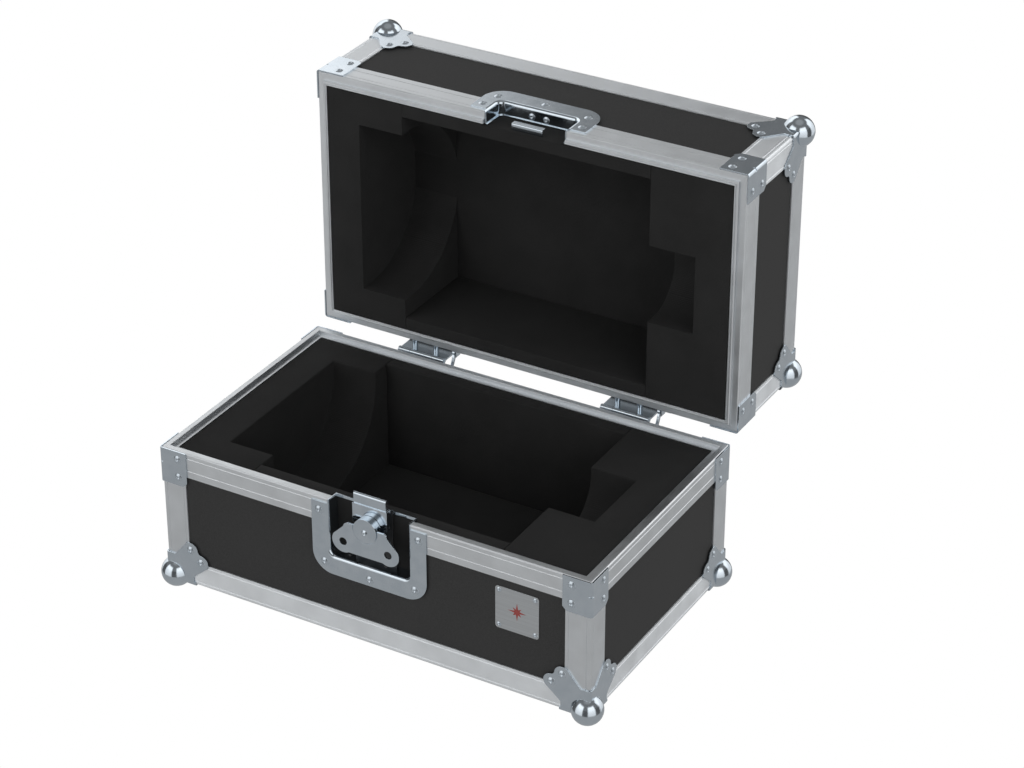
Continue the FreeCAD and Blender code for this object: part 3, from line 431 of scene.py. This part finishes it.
def floor():
    """A plain white floor. The object is lit by the studio round it, not by the floor."""
    bpy.ops.mesh.primitive_plane_add(size=40.0, location=(0.0, 0.0, 0.0))
    piece = bpy.context.object
    piece.name = "floor"
    material = bpy.data.materials.new("white_floor")
    nodes = Nodes(material)
    glow = nodes.tree.nodes.new("ShaderNodeEmission")
    output = nodes.tree.nodes.new("ShaderNodeOutputMaterial")
    nodes.link(glow.outputs[0], output.inputs[0])
    dress(piece, material)
    piece.visible_diffuse = False
    piece.visible_glossy = False
    piece.visible_transmission = False
    piece.visible_shadow = False


LENS = 105.38              # millimetres, on a sensor this wide
SENSOR = 36.0
CAMERA_PLACE = (1.4469, -2.3618, 1.8545)
CAMERA_TURN = 30.0         # degrees round to the right of the front
CAMERA_TILT = 30.0         # degrees up


def camera():
    """A long lens that looks down at the case from the front right."""
    data = bpy.data.cameras.new("camera")
    data.lens = LENS
    data.sensor_width = SENSOR
    data.clip_end = 50.0
    piece = bpy.data.objects.new("camera", data)
    bpy.context.scene.collection.objects.link(piece)
    turn = math.radians(CAMERA_TURN)
    tilt = math.radians(CAMERA_TILT)
    back = Vector((math.sin(turn) * math.cos(tilt), -math.cos(turn) * math.cos(tilt), math.sin(tilt)))
    right = Vector((math.cos(turn), math.sin(turn), 0.0))
    up = back.cross(right)
    axes = Matrix((right, up, back)).transposed()
    piece.matrix_world = Matrix.Translation(Vector(CAMERA_PLACE)) @ axes.to_4x4()
    bpy.context.scene.camera = piece


# Light levels of the studio, and its soft boxes
UNDER = 0.52               # well below the horizon
ROOM = 0.14                # between the boxes
HIGH = 0.27                # between the boxes, higher up
CEILING = 0.48             # straight overhead
BOX_COUNT = 4
BOX_LEVEL = 1.70           # added to the room's own level
BOX_LOW = 0.6              # a box's lower end, as a share of its upper end
BOX_SOFT = 0.07            # half the width of a box's soft edges
BOX_TURN = 32.0            # degrees
BOX_WIDE = 53.0            # degrees
# Heights on the unit sphere where one level gives way to the next
BOX_HEIGHTS = (-0.34, 0.70)
UNDER_EDGE = (-0.30, -0.42)
HIGH_EDGE = (0.25, 0.45)
CEILING_EDGE = (0.86, 0.97)
NO_LIMIT = 100.0           # brighter than anything here


class Studio(Nodes):
    """World nodes: a dark room, lighter higher up, with four upright soft boxes and a grey floor.

    The camera itself sees plain white."""

    def __init__(self):
        world = bpy.data.worlds.new("studio")
        bpy.context.scene.world = world
        super().__init__(world)
        toward = self.tree.nodes.new("ShaderNodeTexCoord").outputs["Generated"]
        self.x, self.y, self.z = self.split(toward)

    def step(self, value, start, end):
        """0 at the start and 1 at the end, smoothly."""
        node = self.tree.nodes.new("ShaderNodeMapRange")
        node.interpolation_type = "SMOOTHSTEP"
        node.inputs["From Min"].default_value = start
        node.inputs["From Max"].default_value = end
        self.link(value, node.inputs["Value"])
        return node.outputs[0]

    def band(self, value, low, high, soft):
        """1 between low and high and 0 outside them, with soft edges."""
        return self.math("MULTIPLY", self.step(value, low - soft, low + soft),
                         self.step(value, high + soft, high - soft))

    def build(self):
        around = self.math("ADD", self.math("ARCTAN2", self.y, self.x), math.radians(BOX_TURN))
        half_step = math.pi / BOX_COUNT
        across = self.math("WRAP", around, half_step, -half_step)
        half_wide = math.radians(BOX_WIDE / 2)
        boxes = self.math("MULTIPLY", self.band(across, -half_wide, half_wide, BOX_SOFT),
                          self.band(self.z, *BOX_HEIGHTS, BOX_SOFT))
        rising = self.math("MULTIPLY_ADD", self.step(self.z, *BOX_HEIGHTS), 1.0 - BOX_LOW, BOX_LOW)
        boxes = self.math("MULTIPLY", boxes, rising)
        room = self.math("MULTIPLY_ADD", self.step(self.z, *UNDER_EDGE), UNDER - ROOM, ROOM)
        room = self.math("MULTIPLY_ADD", self.step(self.z, *HIGH_EDGE), HIGH - ROOM, room)
        room = self.math("MULTIPLY_ADD", self.step(self.z, *CEILING_EDGE), CEILING - HIGH, room)
        level = self.math("MULTIPLY_ADD", boxes, BOX_LEVEL, room)
        seen = self.tree.nodes.new("ShaderNodeLightPath").outputs["Is Camera Ray"]
        limit = self.math("MULTIPLY_ADD", seen, 1.0 - NO_LIMIT, NO_LIMIT)
        level = self.math("MINIMUM", self.math("MAXIMUM", level, seen), limit)
        background = self.tree.nodes.new("ShaderNodeBackground")
        self.link(level, background.inputs["Strength"])
        output = self.tree.nodes.new("ShaderNodeOutputWorld")
        self.link(background.outputs[0], output.inputs[0])


def lights():
    Studio().build()
    bpy.context.scene.view_settings.view_transform = "Standard"


dress_nodes()
foam_inserts()
label_star()
floor()
camera()
lights()
